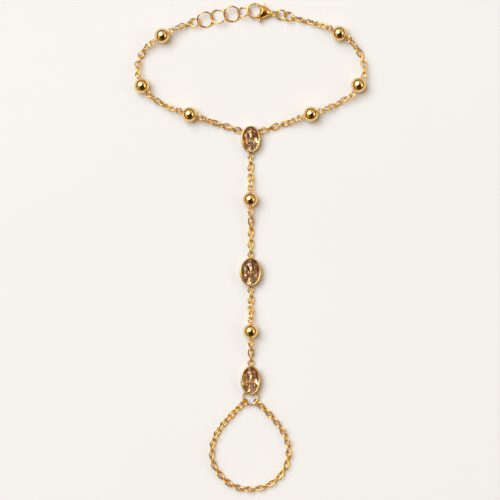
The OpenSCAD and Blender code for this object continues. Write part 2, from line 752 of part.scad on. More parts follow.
module clasp_lever() {
    arm_end = hook_mid_r * direction(lever_end);
    color(gold)
        in_clasp_place() {
            intersection() {
                rotate([0, 0, lever_start])
                    rotate_extrude(angle = lever_end - lever_start)
                        translate([hook_mid_r, 0]) square([lever_w, lever_t], center = true);
                translate([pivot[0], pivot[1], 0]) cylinder(r = lever_reach, h = lever_t + 1, center = true);
            }
            hull() {
                translate([arm_end[0], arm_end[1], 0]) cylinder(d = lever_w, h = lever_t, center = true);
                translate([pivot[0], pivot[1], 0]) cylinder(d = lever_w, h = lever_t, center = true);
            }
            translate([pivot[0], pivot[1], 0]) cylinder(d = lever_hub_d, h = lever_t, center = true);
            translate([pivot[0], pivot[1], 0]) cylinder(d = pivot_d, h = pivot_pin_l, center = true);
            hull() {
                translate([pivot[0], pivot[1], 0]) cylinder(d = lever_w, h = lever_t, center = true);
                translate([knob_place[0], knob_place[1], 0]) cylinder(d = lever_w, h = lever_t, center = true);
            }
            translate([knob_place[0], knob_place[1], 0]) sphere(d = knob_d);
        }
}

setting_top();
stone_top();
setting_middle();
stone_middle();
setting_bottom();
stone_bottom();
bead_left_1();
pin_left_1();
bead_left_2();
pin_left_2();
bead_left_3();
pin_left_3();
bead_right_1();
pin_right_1();
bead_right_2();
pin_right_2();
bead_right_3();
pin_right_3();
bead_centre_1();
pin_centre_1();
bead_centre_2();
pin_centre_2();
chain_left_1();
chain_left_2();
chain_left_3();
chain_left_4();
chain_right_1();
chain_right_2();
chain_right_3();
chain_right_4();
chain_centre_1();
chain_centre_2();
chain_centre_3();
chain_centre_4();
chain_finger();
ring_start();
ring_extender_1();
ring_extender_2();
ring_extender_3();
ring_hooked();
ring_jump_1();
ring_jump_2();
ring_finger_1();
ring_finger_2();
clasp_body();
clasp_lever();
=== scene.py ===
"""Looks of the hand chain bracelet: gold, cut stones, floor, light and camera.

Sizes are in millimetres, in the CAD model's frame, and become metres in the meshes.
The clasp is drawn with the middle of its opening at the origin and its tail along +X.
"""

import math

import bmesh
import bpy
import numpy as np
from mathutils import Matrix, Vector


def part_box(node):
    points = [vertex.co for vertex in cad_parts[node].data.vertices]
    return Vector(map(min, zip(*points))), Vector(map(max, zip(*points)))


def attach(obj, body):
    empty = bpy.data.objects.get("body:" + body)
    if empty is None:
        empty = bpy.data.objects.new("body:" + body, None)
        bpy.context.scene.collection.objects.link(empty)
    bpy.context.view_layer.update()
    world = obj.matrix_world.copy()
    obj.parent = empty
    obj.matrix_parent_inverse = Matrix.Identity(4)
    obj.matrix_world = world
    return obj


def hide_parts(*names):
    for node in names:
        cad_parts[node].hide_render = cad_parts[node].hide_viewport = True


MM = 0.001

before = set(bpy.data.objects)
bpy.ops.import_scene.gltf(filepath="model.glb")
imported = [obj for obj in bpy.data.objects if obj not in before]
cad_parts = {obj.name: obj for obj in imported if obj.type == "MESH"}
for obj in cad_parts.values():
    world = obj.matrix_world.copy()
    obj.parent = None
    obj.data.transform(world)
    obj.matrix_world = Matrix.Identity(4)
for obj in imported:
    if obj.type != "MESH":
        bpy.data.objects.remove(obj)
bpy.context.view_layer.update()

# Name: middle along Y, outer width, outer length
SETTINGS = {
    "top": (32.5, 6.0, 7.95),
    "middle": (-7.3, 6.6, 8.5),
    "bottom": (-39.8, 6.0, 8.6),
}
SETTING_H = 2.6
SETTING_EDGE_R = 0.3
RIM_SIDE = 0.65
RIM_END = 0.4
RIM_FOLD = 0.1
GIRDLE_Z = 2.05
GIRDLE_T = 0.15
PAVILION_H = 1.65
CROWN_H = 0.85
STONE_GAP = 0.04
TABLE_SHARE = 0.58
STAR_SHARE = 0.8
LOWER_SHARE = 0.28
EYE_WIRE = 0.45
EYE_Z = 1.0
END_EYE_OD = 2.1
END_EYE_REACH = 2.1
SIDE_EYE_OD = 1.9
SIDE_EYE_REACH = 1.25
SIDE_EYE_TURN = 36
SIDE_EYE_HEADING = 18
SIDE_EYE_ROLL = 58
# Leg of a side eye with its solder: distance from the wall, radius as a share of the wire's
SIDE_EYE_LEG = (
    (-0.3, 1.35),
    (-0.15, 1.3),
    (0.0, 1.22),
    (0.12, 1.1),
    (0.26, 1.02),
)
FINGER_RING_OD = 5.05
FINGER_RING_WIRE = 0.55
FINGER_RING_Y = -44.8
# Dab of solder under an end eye: distance from the wall, radius as a share of the wire
EYE_SOLDER = (
    (-0.5, 0.75),
    (-0.2, 0.75),
    (0.0, 0.74),
    (0.1, 0.66),
    (0.18, 0.5),
    (0.22, 0.3),
)
# Solder between the bottom setting and the large ring: turn from the ring's top, radius
RING_SOLDER = (
    (72, 0.27),
    (62, 0.33),
    (52, 0.35),
    (42, 0.33),
)

# Name: heading of the pin through the bead
BEADS = {
    "left_1": 161.5,
    "left_2": 119,
    "left_3": 32,
    "right_1": 18.5,
    "right_2": 60.5,
    "right_3": 150,
    "centre_1": -90,
    "centre_2": -90,
}
BEAD_BORE = 0.75
BEAD_EDGE = 0.09
# Rounded edge of the drilled hole: depth below the bead's end, width beyond the bore
BORE_LIP = ((0.012, 0.04), (0.05, 0.01), (0.12, 0.0))

CLASP_PLACE = (1.05, 71.1, 1.4)
CLASP_HEADING = -8.8
CLASP_T = 2.8
JAW_R = 1.78
HOOK_W = 0.57
HOOK_T = 0.7
HOOK_MID_R = JAW_R + HOOK_W / 2
HOOK_START = 70
LEVER_START = 237
LEVER_END = 296
LEVER_REACH = (JAW_R + HOOK_W) * 1.213
LEVER_T = 0.8
LEVER_W = 0.52
LEVER_GAP = 0.1
LEVER_HUB_D = 0.9
PIVOT = (1.8, -1.7)
PIVOT_D = 0.6
PIVOT_PIN_L = 1.9
KNOB = (2.25, -2.8)
KNOB_D = 1.0
CLASP_LEN = 6.45
TAIL_OD = 2.2
TAIL_WIRE = 0.5
TAIL_ROLL = -40
BULB_POWER = 2.3
HOOK_POWER = 2.6
LEVER_POWER = 3.2
JAW_FLARE = 0.9
# Cuts for the mouth and the lever: x0, x1, y0, y1
MOUTH = (-1, 1.2, -4, 0)
LEVER_SLOT = (1.15, 2.85, -3.4, -1.05)
# Place along the clasp, lower and upper edge, share of the thickness
CLASP_SECTIONS = (
    (0.5, -2.32, 2.24, 0.42),
    (1.1, -2.32, 2.14, 0.66),
    (1.8, -2.28, 1.97, 0.92),
    (2.5, -2.16, 1.84, 1.0),
    (3.2, -1.8, 1.76, 0.97),
    (3.9, -1.34, 1.5, 0.84),
    (4.6, -0.87, 1.03, 0.62),
    (5.2, -0.47, 0.56, 0.42),
    (5.6, -0.28, 0.3, 0.28),
)
# Ridges on the bulb: x, y, radius
FIN = (
    (2.95, 1.4, 0.3),
    (2.75, 1.95, 0.24),
    (2.45, 2.55, 0.17),
    (2.2, 2.98, 0.08),
)
RIB = (
    (2.95, -1.93, 0.16),
    (3.3, -1.72, 0.19),
    (3.95, -1.3, 0.19),
    (4.6, -0.84, 0.18),
    (5.3, -0.4, 0.16),
)

# Painted sparkle and shade on the foil's facets, from dark to bright: place on the ramp, colour
FOIL_PAINTED_SPARKLE_TONES = (
    (0.3, (0.4, 0.18, 0.09, 1)),
    (0.42, (0.95, 0.57, 0.35, 1)),
    (0.56, (1.0, 0.73, 0.49, 1)),
    (0.7, (1.0, 0.91, 0.78, 1)),
)
# The room round the object: height above the horizon (1 is straight above), colour
ROOM_TONES = (
    (0.0, (0.07, 0.04, 0.015, 1)),
    (0.24, (0.09, 0.055, 0.022, 1)),
    (0.36, (0.5, 0.38, 0.23, 1)),
    (0.48, (0.9, 0.74, 0.52, 1)),
    (0.68, (0.85, 0.69, 0.47, 1)),
    (0.85, (0.38, 0.28, 0.17, 1)),
)
ROOM_STRENGTH = 1.03
# Dark patch of the room: direction, cosines of the angles where it begins and where it is full
DARK_TOWARD = Vector((0.12, -0.55, 0.83)).normalized()
DARK_BEGINS = 0.66
DARK_FULL = 0.86
DARK_COLOR = (0.05, 0.03, 0.012, 1)


def node_material(name):
    material = bpy.data.materials.new(name)
    material.use_nodes = True
    nodes = material.node_tree.nodes
    return material, nodes, material.node_tree.links, nodes["Principled BSDF"]


def add_node(nodes, kind, **values):
    node = nodes.new(kind)
    for key, value in values.items():
        if key in node.inputs:
            node.inputs[key].default_value = value
        else:
            setattr(node, key, value)
    return node


def add_ramp(nodes, tones):
    """Colour ramp through a table of places and colours."""
    ramp = add_node(nodes, "ShaderNodeValToRGB")
    elements = ramp.color_ramp.elements
    for element, (position, color) in zip(elements, (tones[0], tones[-1])):
        element.position = position
        element.color = color
    for position, color in tones[1:-1]:
        elements.new(position).color = color
    return ramp


def gold_material(name, color, roughness, wave, bump):
    """Plated gold: slightly uneven colour and polish, and a faint unevenness of the surface."""
    material, nodes, links, shader = node_material(name)
    place = add_node(nodes, "ShaderNodeTexCoord")
    tone = add_node(nodes, "ShaderNodeTexNoise", Scale=700.0, Detail=3.0)
    ramp = add_ramp(nodes, ((0.3, (*[c * 0.9 for c in color], 1)), (0.6, (*color, 1))))
    polish = add_node(nodes, "ShaderNodeTexNoise", Scale=2600.0, Detail=2.0)
    polish_range = add_node(nodes, "ShaderNodeMapRange")
    polish_range.inputs["To Min"].default_value = roughness * 0.8
    polish_range.inputs["To Max"].default_value = roughness * 1.3
    uneven = add_node(nodes, "ShaderNodeTexNoise", Scale=wave, Detail=1.0)
    bump_node = add_node(nodes, "ShaderNodeBump", Strength=bump, Distance=0.00005)
    links.new(place.outputs["Object"], tone.inputs["Vector"])
    links.new(place.outputs["Object"], polish.inputs["Vector"])
    links.new(place.outputs["Object"], uneven.inputs["Vector"])
    links.new(tone.outputs["Fac"], ramp.inputs["Fac"])
    links.new(ramp.outputs["Color"], shader.inputs["Base Color"])
    links.new(polish.outputs["Fac"], polish_range.inputs["Value"])
    links.new(polish_range.outputs["Result"], shader.inputs["Roughness"])
    links.new(uneven.outputs["Fac"], bump_node.inputs["Height"])
    links.new(bump_node.outputs["Normal"], shader.inputs["Normal"])
    shader.inputs["Metallic"].default_value = 1.0
    return material


def stone_material(name):
    """Clear champagne glass."""
    material, nodes, links, shader = node_material(name)
    place = add_node(nodes, "ShaderNodeTexCoord")
    tone = add_node(nodes, "ShaderNodeTexNoise", Scale=350.0, Detail=1.0)
    ramp = add_ramp(nodes, ((0.0, (0.93, 0.84, 0.75, 1)), (1.0, (0.97, 0.9, 0.82, 1))))
    links.new(place.outputs["Object"], tone.inputs["Vector"])
    links.new(tone.outputs["Fac"], ramp.inputs["Fac"])
    links.new(ramp.outputs["Color"], shader.inputs["Base Color"])
    shader.inputs["Roughness"].default_value = 0.0
    shader.inputs["IOR"].default_value = 1.6
    shader.inputs["Transmission Weight"].default_value = 1.0
    return material


def painted_sparkle_foil_material(name):
    """Champagne foil on the back of a stone, with painted sparkle and shade: each facet gets its own
    brightness from dark to near white, and facets leaning toward +Y are painted brighter.
    """
    material, nodes, links, shader = node_material(name)
    facing = add_node(nodes, "ShaderNodeNewGeometry")
    # Painted sparkle and shade: a tone for each facet from its normal, raised on facets whose normal
    # leans toward +Y
    tone = add_node(nodes, "ShaderNodeTexNoise", Scale=4.6, Detail=1.0)
    painted_lean_toward_y = add_node(nodes, "ShaderNodeVectorMath", operation="DOT_PRODUCT")
    painted_lean_toward_y.inputs[1].default_value = (0.1, 0.32, 0)
    both = add_node(nodes, "ShaderNodeMath", operation="ADD")
    ramp = add_ramp(nodes, FOIL_PAINTED_SPARKLE_TONES)
    links.new(facing.outputs["True Normal"], tone.inputs["Vector"])
    links.new(facing.outputs["True Normal"], painted_lean_toward_y.inputs[0])
    links.new(tone.outputs["Fac"], both.inputs[0])
    links.new(painted_lean_toward_y.outputs["Value"], both.inputs[1])
    links.new(both.outputs["Value"], ramp.inputs["Fac"])
    links.new(ramp.outputs["Color"], shader.inputs["Base Color"])
    shader.inputs["Metallic"].default_value = 0.75
    shader.inputs["Roughness"].default_value = 0.05
    return material


def floor_material():
    """Warm white paper with a fine grain."""
    material, nodes, links, shader = node_material("floor_paper")
    place = add_node(nodes, "ShaderNodeTexCoord")
    tone = add_node(nodes, "ShaderNodeTexNoise", Scale=14.0, Detail=2.0)
    ramp = add_ramp(nodes, ((0.0, (0.84, 0.83, 0.825, 1)), (1.0, (0.865, 0.855, 0.85, 1))))
    grain = add_node(nodes, "ShaderNodeTexNoise", Scale=900.0, Detail=3.0)
    bump_node = add_node(nodes, "ShaderNodeBump", Strength=0.04, Distance=0.0001)
    links.new(place.outputs["Object"], tone.inputs["Vector"])
    links.new(place.outputs["Object"], grain.inputs["Vector"])
    links.new(tone.outputs["Fac"], ramp.inputs["Fac"])
    links.new(ramp.outputs["Color"], shader.inputs["Base Color"])
    links.new(grain.outputs["Fac"], bump_node.inputs["Height"])
    links.new(bump_node.outputs["Normal"], shader.inputs["Normal"])
    shader.inputs["Roughness"].default_value = 0.85
    shader.inputs["Specular IOR Level"].default_value = 0.2
    return material


GOLD = (0.9, 0.55, 0.155)
PALE_GOLD = (0.92, 0.62, 0.23)
# Settings: a real satin finish (rougher), and a darker gold than the chain's that paints shade on the
# rims
SATIN_GOLD_PAINTED_SHADE = (0.75, 0.5, 0.2)
CHAIN_GOLD = gold_material("chain_gold", GOLD, roughness=0.13, wave=1400.0, bump=0.03)
BEAD_GOLD = gold_material("bead_gold", PALE_GOLD, roughness=0.06, wave=500.0, bump=0.05)
SETTING_GOLD_PAINTED_SHADE = gold_material("setting_gold_painted_shade", SATIN_GOLD_PAINTED_SHADE, roughness=0.25, wave=700.0, bump=0.04)
CLASP_GOLD = gold_material("clasp_gold", GOLD, roughness=0.16, wave=500.0, bump=0.02)
STONE = stone_material("champagne_stone")
# Foil with painted sparkle and shade on its facets
PAINTED_SPARKLE_FOIL = painted_sparkle_foil_material("champagne_foil_painted_sparkle")


def mesh_object(name, points, faces, material, smooth=True):
    """A mesh from points in millimetres."""
    mesh = bpy.data.meshes.new(name)
    mesh.from_pydata([tuple(c * MM for c in p) for p in points], [], faces)
    mesh.validate()
    mesh.update()
    for face in mesh.polygons:
        face.use_smooth = smooth
    item = bpy.data.objects.new(name, mesh)
    bpy.context.scene.collection.objects.link(item)
    mesh.materials.append(material)
    return item


def join_parts(parts):
    """Points and faces of several parts as one."""
    points, faces = [], []
    for some_points, some_faces in parts:
        start = len(points)
        points.extend(some_points)
        faces.extend([tuple(start + i for i in face) for face in some_faces])
    return points, faces


def moved(part, matrix):
    points, faces = part
    return [tuple(matrix @ Vector(p)) for p in points], faces


def grid_faces(rows, sides, closed_rows=False):
    """Quads between rows of points, each row a closed round of that many sides."""
    faces = []
    for r in range(rows if closed_rows else rows - 1):
        for k in range(sides):
            a, b = r * sides + k, r * sides + (k + 1) % sides
            up = ((r + 1) % rows) * sides
            faces.append((a, b, up + (k + 1) % sides, up + k))
    return faces


def capped_faces(rows, sides):
    """Quads between rows of points, with the first and the last row closed by a face."""
    faces = grid_faces(rows, sides)
    faces.append(tuple(range(sides))[::-1])
    faces.append(tuple((rows - 1) * sides + k for k in range(sides)))
    return faces


def oval_loft(levels, sides, capped=True):
    """Surface through level ovals (z, half width, half length), with or without its two end faces."""
    points = [
        (hw * math.cos(2 * math.pi * k / sides), hl * math.sin(2 * math.pi * k / sides), z)
        for z, hw, hl in levels
        for k in range(sides)
    ]
    faces = capped_faces(len(levels), sides) if capped else grid_faces(len(levels), sides)
    return points, faces


def tube(path, radii, sides=20, closed=False):
    """Round wire along a path, with capped ends unless it is closed."""
    path = [Vector(p) for p in path]
    n = len(path)
    if isinstance(radii, (int, float)):
        radii = [radii] * n
    points = []
    side_way = None
    for i, p in enumerate(path):
        before = path[(i - 1) % n] if closed or i else path[0]
        after = path[(i + 1) % n] if closed or i < n - 1 else path[-1]
        way = (after - before).normalized()
        if side_way is None:
            side_way = way.orthogonal().normalized()
        side_way = (side_way - way * side_way.dot(way)).normalized()
        up = way.cross(side_way)
        for k in range(sides):
            turn = 2 * math.pi * k / sides
            points.append(tuple(p + radii[i] * (math.cos(turn) * side_way + math.sin(turn) * up)))
    return points, grid_faces(n, sides, True) if closed else capped_faces(n, sides)


def ring(mid_r, wire, steps=72, sides=20):
    """Closed ring of round wire about Z."""
    path = [
        (mid_r * math.cos(2 * math.pi * i / steps), mid_r * math.sin(2 * math.pi * i / steps), 0)
        for i in range(steps)
    ]
    return tube(path, wire / 2, sides, closed=True)


def turn_z(degrees):
    return Matrix.Rotation(math.radians(degrees), 4, "Z")


def turn_x(degrees):
    return Matrix.Rotation(math.radians(degrees), 4, "X")


def shift(x, y, z=0.0):
    return Matrix.Translation((x, y, z))


def girdle_half(width, length):
    """Half width and half length of a stone at its girdle."""
    return width / 2 - RIM_SIDE + RIM_FOLD, length / 2 - RIM_END + RIM_FOLD


def setting_cup(width, length):
    """Cup with a round-edged rim, and the stone's seat inside."""
    hw, hl = width / 2, length / 2
    gw, gl = girdle_half(width, length)
    rim_in_w, rim_in_l = gw - RIM_FOLD, gl - RIM_FOLD
    edge = SETTING_EDGE_R
    levels = [
        (0.0, 0.001, 0.001),
        (0.0, (hw - edge) * 0.5, (hl - edge) * 0.5),
        (0.0, hw - edge, hl - edge),
    ]
    for i in range(1, 7):
        turn = math.pi / 2 * i / 6
        out = edge * math.sin(turn)
        levels.append((edge - edge * math.cos(turn), hw - edge + out, hl - edge + out))
    levels.append((1.0, hw, hl))
    levels.append((1.7, hw, hl))
    rim_w, rim_l = hw - rim_in_w, hl - rim_in_l
    for i in range(0, 25):
        turn = math.pi * i / 24
        across = (1 - math.cos(turn)) / 2
        levels.append((SETTING_H - edge * (1 - math.sin(turn)), hw - rim_w * across, hl - rim_l * across))
    levels.append((GIRDLE_Z + GIRDLE_T + STONE_GAP, gw - 0.01, gl - 0.01))
    levels.append((GIRDLE_Z + GIRDLE_T + STONE_GAP, gw + STONE_GAP, gl + STONE_GAP))
    levels.append((GIRDLE_Z - STONE_GAP, gw + STONE_GAP, gl + STONE_GAP))
    for share in (0.8, 0.55, 0.3, 0.1, 0.001):
        levels.append((
            GIRDLE_Z - PAVILION_H * (1 - share) - 2 * STONE_GAP,
            share * gw + STONE_GAP * min(1, share * 4),
            share * gl + STONE_GAP * min(1, share * 4),
        ))
    return oval_loft(levels, 128, capped=False)


def side_eye_ring():
    """Half ring on two legs along +X, with a little solder where the legs meet the wall."""
    arc_x = SIDE_EYE_REACH - SIDE_EYE_OD / 2
    mid_r = (SIDE_EYE_OD - EYE_WIRE) / 2
    arc = []
    for i in range(25):
        turn = math.radians(-90 + 180 * i / 24)
        arc.append((arc_x + mid_r * math.cos(turn), mid_r * math.sin(turn), 0))
    start = [(x, -mid_r, 0) for x, share in SIDE_EYE_LEG]
    end = [(x, mid_r, 0) for x, share in reversed(SIDE_EYE_LEG)]
    leg_shares = [share for x, share in SIDE_EYE_LEG]
    shares = leg_shares + [1] * len(arc) + leg_shares[::-1]
    return tube(start + arc + end, [EYE_WIRE / 2 * share for share in shares])


def end_eye_ring():
    """Whole ring along +X against the wall, on a dab of solder."""
    wire = ring((END_EYE_OD - EYE_WIRE) / 2, EYE_WIRE, 64)
    solder = tube([(x, 0, 0) for x, share in EYE_SOLDER], [EYE_WIRE * share for x, share in EYE_SOLDER])
    return join_parts([moved(wire, shift(END_EYE_REACH - END_EYE_OD / 2, 0)), solder])


def make_setting(name):
    y, width, length = SETTINGS[name]
    parts = [moved(setting_cup(width, length), shift(0, y))]

    def end_eye(side):
        place = shift(0, y + side * length / 2, EYE_Z) @ turn_z(90 * side)
        return moved(end_eye_ring(), place)

    if name != "bottom":
        parts.append(end_eye(-1))
    if name != "top":
        parts.append(end_eye(1))
    if name == "top":
        for side in (-1, 1):
            turn = math.radians(SIDE_EYE_TURN)
            heading = SIDE_EYE_HEADING if side > 0 else 180 - SIDE_EYE_HEADING
            place = (
                shift(side * width / 2 * math.cos(turn), y + length / 2 * math.sin(turn), EYE_Z)
                @ turn_z(heading)
                @ turn_x(SIDE_EYE_ROLL)
            )
            parts.append(moved(side_eye_ring(), place))
    if name == "bottom":
        mid_r = (FINGER_RING_OD - FINGER_RING_WIRE) / 2
        parts.append(moved(ring(mid_r, FINGER_RING_WIRE, 96, 24), shift(0, FINGER_RING_Y, EYE_Z)))
        for side in (-1, 1):
            turns = [math.radians(90 - side * turn) for turn, radius in RING_SOLDER]
            path = [(mid_r * math.cos(turn), mid_r * math.sin(turn), 0) for turn in turns]
            solder = tube(path, [radius for turn, radius in RING_SOLDER])
            parts.append(moved(solder, shift(0, FINGER_RING_Y, EYE_Z)))
    points, faces = join_parts(parts)
    # The cup, its eyes and the finger ring take the darker gold with painted shade
    item = mesh_object("gold_setting_" + name, points, faces, SETTING_GOLD_PAINTED_SHADE)
    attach(item, "jewel")
    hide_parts("setting_" + name)
    return item


def make_stone(name):
    """Oval brilliant: table, 8 stars, 8 kites, 16 upper halves, girdle, 8 mains and 16 lower halves."""
    y, width, length = SETTINGS[name]
    gw, gl = girdle_half(width, length)
    top_z = GIRDLE_Z + GIRDLE_T
    half_turn = math.radians(22.5)

    def at(share, sixteenths, z):
        turn = math.radians(22.5 * sixteenths)
        return (gw * share * math.cos(turn), y + gl * share * math.sin(turn), z)

    star_z = top_z + CROWN_H * (1 - STAR_SHARE * math.cos(half_turn)) / (1 - TABLE_SHARE)
    lower_z = GIRDLE_Z - PAVILION_H * (1 - LOWER_SHARE * math.cos(half_turn))
    points, faces = [], []

    def add(p):
        points.append(p)
        return len(points) - 1

    table_ring = [add(at(TABLE_SHARE, 2 * i, top_z + CROWN_H)) for i in range(8)]
    star_ring = [add(at(STAR_SHARE, 2 * i + 1, star_z)) for i in range(8)]
    upper_ring = [add(at(1, j, top_z)) for j in range(16)]
    girdle_ring = [add(at(1, j, GIRDLE_Z)) for j in range(16)]
    lower_ring = [add(at(LOWER_SHARE, 2 * i + 1, lower_z)) for i in range(8)]
    culet = add((0, y, GIRDLE_Z - PAVILION_H))
    faces.append(tuple(table_ring))
    for i in range(8):
        n = (i + 1) % 8
        faces.append((table_ring[i], star_ring[i], table_ring[n]))
        faces.append((table_ring[i], star_ring[i - 1], upper_ring[2 * i], star_ring[i]))
        faces.append((star_ring[i], upper_ring[2 * i], upper_ring[2 * i + 1]))
        faces.append((star_ring[i], upper_ring[2 * i + 1], upper_ring[(2 * i + 2) % 16]))
        faces.append((culet, lower_ring[i], girdle_ring[2 * i], lower_ring[i - 1]))
        faces.append((lower_ring[i], girdle_ring[2 * i + 1], girdle_ring[2 * i]))
        faces.append((lower_ring[i], girdle_ring[(2 * i + 2) % 16], girdle_ring[2 * i + 1]))
    for j in range(16):
        n = (j + 1) % 16
        faces.append((upper_ring[j], girdle_ring[j], girdle_ring[n], upper_ring[n]))
    item = mesh_object("cut_stone_" + name, points, faces, STONE, smooth=False)
    fix_normals(item)
    # The pavilion takes the foil with painted sparkle and shade
    item.data.materials.append(PAINTED_SPARKLE_FOIL)
    for face in item.data.polygons:
        face.material_index = 1 if face.center.z < GIRDLE_Z * MM - 0.00001 else 0
    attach(item, "jewel")
    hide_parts("stone_" + name)
    return item


def fix_normals(item):
    mesh = bmesh.new()
    mesh.from_mesh(item.data)
    bmesh.ops.recalc_face_normals(mesh, faces=mesh.faces)
    mesh.to_mesh(item.data)
    mesh.free()


def make_bead(name):
    """Round bead with a drilled hole whose edges are rounded."""
    low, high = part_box("bead_" + name)
    centre = Vector([(a + b) / 2 / MM for a, b in zip(low, high)])
    radius = (high[2] - low[2]) / 2 / MM
    bore = BEAD_BORE / 2
    start = math.asin((bore + BEAD_EDGE) / radius)
    profile = []
    rows = 64
    for i in range(rows + 1):
        turn = start + (math.pi - 2 * start) * i / rows
        profile.append((-radius * math.cos(turn), radius * math.sin(turn)))
    end_x = profile[-1][0]
    lip = [(end_x - depth, bore + width) for depth, width in BORE_LIP]
    profile = [(-x, r) for x, r in reversed(lip)] + profile + lip
    profile = profile + [(x, bore) for x in np.linspace(profile[-1][0], profile[0][0], 6)[1:-1]]
    sides = 96
    points = [
        (x, r * math.cos(2 * math.pi * k / sides), r * math.sin(2 * math.pi * k / sides))
        for x, r in profile
        for k in range(sides)
    ]
    place = Matrix.Translation(centre) @ turn_z(BEADS[name])
    part = moved((points, grid_faces(len(profile), sides, True)), place)
    item = mesh_object("gold_bead_" + name, *part, BEAD_GOLD)
    fix_normals(item)
    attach(item, "jewel")
    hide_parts("bead_" + name)
    return item


def plain_object(name, part):
    """A working mesh in millimetres."""
    mesh = bpy.data.meshes.new(name)
    mesh.from_pydata([tuple(p) for p in part[0]], [], part[1])
    mesh.validate()
    item = bpy.data.objects.new(name, mesh)
    bpy.context.scene.collection.objects.link(item)
    fix_normals(item)
    return item


def part_of(item):
    """Points and faces of a working mesh."""
    points = [tuple(v.co) for v in item.data.vertices]
    return points, [tuple(face.vertices) for face in item.data.polygons]


def set_part(item, part):
    mesh = bpy.data.meshes.new(item.name)
    mesh.from_pydata(part[0], [], part[1])
    item.data = mesh


def apply_modifiers(item):
    graph = bpy.context.evaluated_depsgraph_get()
    graph.update()
    mesh = bpy.data.meshes.new_from_object(item.evaluated_get(graph))
    item.modifiers.clear()
    item.data = mesh


def combine(item, operation, tool):
    """Cuts a working mesh with another one, which is used up."""
    modifier = item.modifiers.new("combine", "BOOLEAN")
    modifier.operation = operation
    modifier.solver = "EXACT"
    modifier.object = tool
    apply_modifiers(item)
    bpy.data.objects.remove(tool)


def smooth_cast(item, voxel, rounds):
    """One closed skin over the item's overlapping parts, with its edges rounded as in a casting."""
    remesh = item.modifiers.new("skin", "REMESH")
    remesh.mode = "VOXEL"
    remesh.voxel_size = voxel
    smoother = item.modifiers.new("round", "SMOOTH")
    smoother.factor = 0.5
    smoother.iterations = rounds
    apply_modifiers(item)


def into_place(item, name, material, body, node):
    """Moves a working mesh of the clasp to its place, in metres, as a finished piece."""
    place = shift(*CLASP_PLACE) @ turn_z(CLASP_HEADING)
    item.data.transform(Matrix.Scale(MM, 4) @ place)
    item.name = item.data.name = name
    item.data.materials.clear()
    item.data.materials.append(material)
    for face in item.data.polygons:
        face.use_smooth = True
    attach(item, body)
    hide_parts(node)
    return item


def cylinder(radius, low, high, sides=96):
    """Cylinder about Z between two heights."""
    return oval_loft([(low, radius, radius), (high, radius, radius)], sides)


def flared_hole(radius, flare, low=0.22, high=1.6, sides=96):
    """Round hole that widens toward both faces, so that the bulb thins toward it."""
    upper = [high * (1 - i / 12) for i in range(12)]
    levels = []
    for z in upper + [-z for z in reversed(upper)]:
        share = max(0.0, (abs(z) - low) / (high - low))
        r = radius + flare * share ** 1.3
        levels.append((z, r, r))
    return oval_loft(levels, sides)


def box_part(x0, x1, y0, y1, z0, z1):
    points = [(x, y, z) for z in (z0, z1) for x, y in ((x0, y0), (x1, y0), (x1, y1), (x0, y1))]
    faces = [(0, 3, 2, 1), (4, 5, 6, 7), (0, 1, 5, 4), (1, 2, 6, 5), (2, 3, 7, 6), (3, 0, 4, 7)]
    return points, faces


def arc_band(start, end, section, steps=64):
    """A section of (outward, z) points swept along an arc about Z."""
    points = []
    for i in range(steps + 1):
        turn = math.radians(start + (end - start) * i / steps)
        for out, z in section:
            points.append((out * math.cos(turn), out * math.sin(turn), z))
    return points, capped_faces(steps + 1, len(section))


def round_section(middle, width, thick, power, sides=28):
    """Rounded rectangle as (outward, z) points; a power of 2 is an oval, a higher one is squarer."""
    section = []
    for k in range(sides):
        turn = 2 * math.pi * k / sides
        c, s = math.cos(turn), math.sin(turn)
        section.append((
            middle + width / 2 * math.copysign(abs(c) ** (2 / power), c),
            thick / 2 * math.copysign(abs(s) ** (2 / power), s),
        ))
    return section


def clasp_bulb():
    """Smooth loft through the clasp's cross-sections."""
    at = np.array(CLASP_SECTIONS)
    stations = np.linspace(at[0, 0], at[-1, 0], 60)
    low, high, thick = [np.interp(stations, at[:, 0], at[:, c]) for c in (1, 2, 3)]
    kernel = np.array([1, 2, 3, 2, 1]) / 9

    def soften(values):
        padded = np.concatenate([[values[0]] * 2, values, [values[-1]] * 2])
        return np.convolve(padded, kernel, "valid")

    low, high, thick = soften(low), soften(high), soften(thick)
    sides = 56
    points = []
    for x, a, b, share in zip(stations, low, high, thick):
        for y, z in round_section((a + b) / 2, b - a, share * CLASP_T, BULB_POWER, sides):
            points.append((x, y, z))
    return points, capped_faces(len(stations), sides)


def ridge(points):
    """Round ridge through (x, y, radius) points."""
    return tube([(x, y, 0) for x, y, radius in points], [radius for x, y, radius in points])


